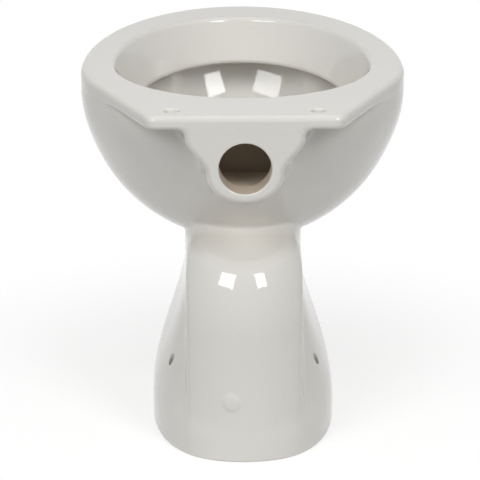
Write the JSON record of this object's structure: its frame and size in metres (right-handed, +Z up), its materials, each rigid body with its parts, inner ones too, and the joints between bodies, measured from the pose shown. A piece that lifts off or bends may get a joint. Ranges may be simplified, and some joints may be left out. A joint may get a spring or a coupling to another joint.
{
  "type": "washdown toilet pan",
  "caption": "Floor-standing washdown toilet pan with a box rim, rear deck, flush inlet horn, rounded bowl and a water-seal trap inside its hollow pedestal, with the outlet pointing down.",
  "frame": {"origin": "on the floor, under the middle of the pan's outline", "axes": "+X across the pan, to the right seen from behind; +Y from the rear deck edge to the front lip; +Z up"},
  "size_m": [0.3602, 0.46, 0.4],
  "materials": {
    "glaze": "glossy white glaze",
    "bare_china": "unglazed or thinly glazed fired china"
  },
  "bodies": {
    "root": {"rim": "glaze", "bowl": "glaze", "inlet_horn": "glaze", "flush_deflector": "glaze", "pedestal": "glaze", "drain_plug": "glaze", "sump_bend": "bare_china", "crown_bend": "bare_china", "outlet_spigot": "bare_china", "floor_lug_left": "bare_china", "floor_lug_right": "bare_china"}
  },
  "joints": []
}
